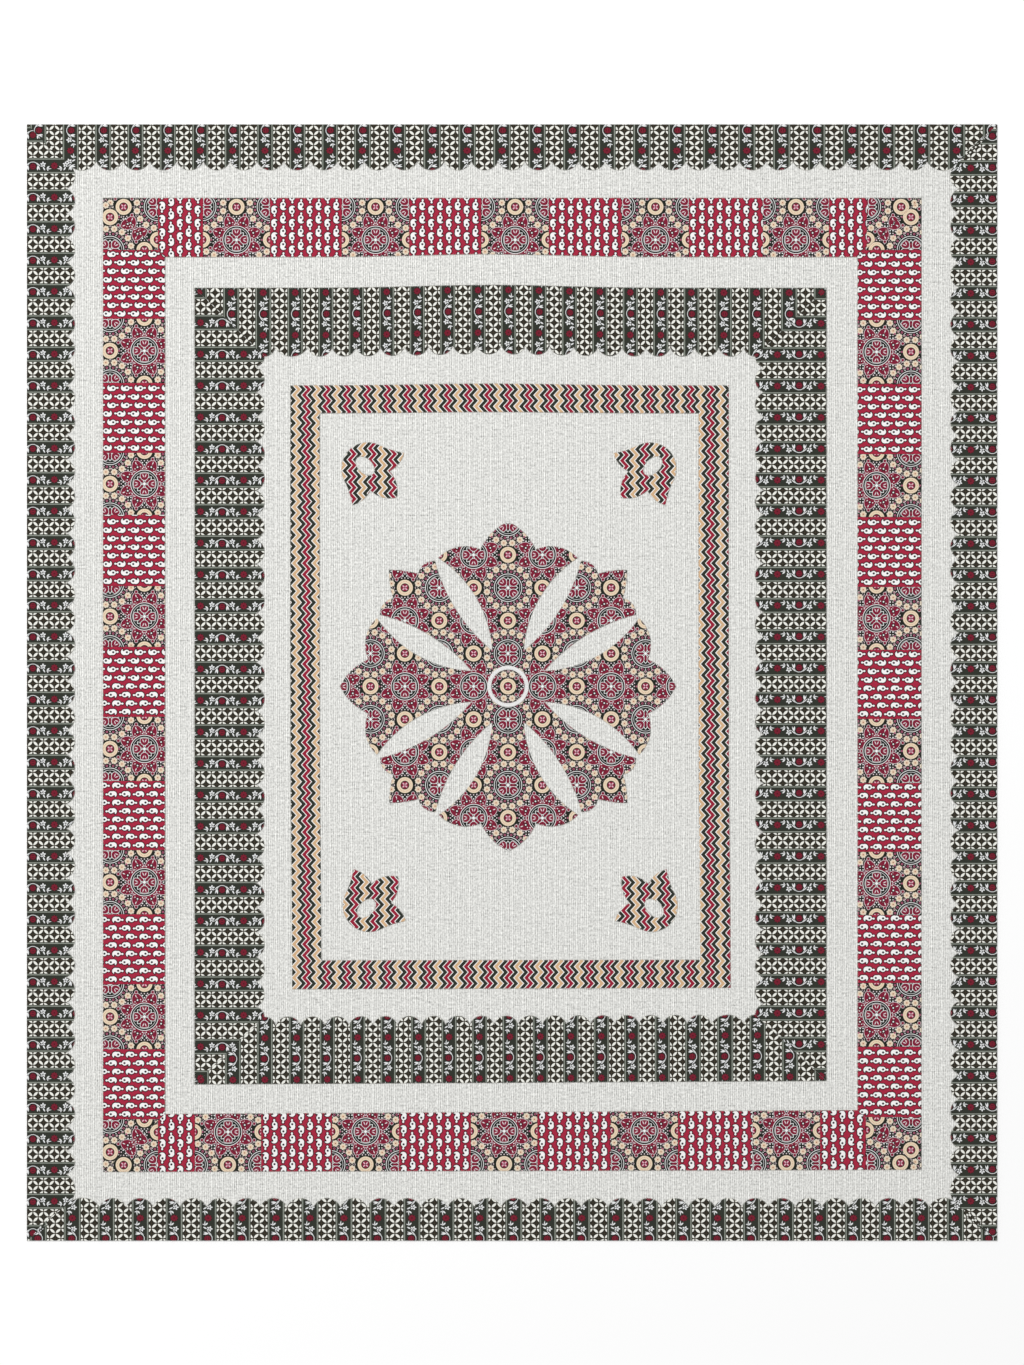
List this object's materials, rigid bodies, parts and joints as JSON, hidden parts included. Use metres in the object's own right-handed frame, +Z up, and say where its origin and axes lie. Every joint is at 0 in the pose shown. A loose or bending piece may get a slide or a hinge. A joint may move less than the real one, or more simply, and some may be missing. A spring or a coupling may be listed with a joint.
{
  "type": "applique patchwork bedsheet",
  "caption": "Flat cotton bedsheet with scalloped striped borders, a pieced patch border, a chevron frame, corner motifs and a cut-work medallion sewn on.",
  "frame": {"origin": "under the middle of the sheet, at the bottom of the bounding box", "axes": "+X across the sheet to the right, +Y along it towards its upper end, +Z up out of the patterned face"},
  "size_m": [2.286, 2.63, 0.0041],
  "materials": {
    "base_cloth": "matte",
    "striped_cloth": "matte",
    "patchwork_cloth": "matte",
    "chevron_cloth": "matte",
    "mandala_cloth": "matte",
    "white_cloth": "matte"
  },
  "bodies": {
    "root": {"base_sheet": "base_cloth", "outer_border_top": "striped_cloth", "outer_border_bottom": "striped_cloth", "outer_border_left": "striped_cloth", "outer_border_right": "striped_cloth", "patch_border_top": "patchwork_cloth", "patch_border_bottom": "patchwork_cloth", "patch_border_left": "patchwork_cloth", "patch_border_right": "patchwork_cloth", "inner_border_top": "striped_cloth", "inner_border_bottom": "striped_cloth", "inner_border_left": "striped_cloth", "inner_border_right": "striped_cloth", "chevron_frame": "chevron_cloth", "corner_motif_top_left": "chevron_cloth", "corner_motif_top_right": "chevron_cloth", "corner_motif_bottom_left": "chevron_cloth", "corner_motif_bottom_right": "chevron_cloth", "medallion": "mandala_cloth", "medallion_ring": "white_cloth"}
  },
  "joints": []
}
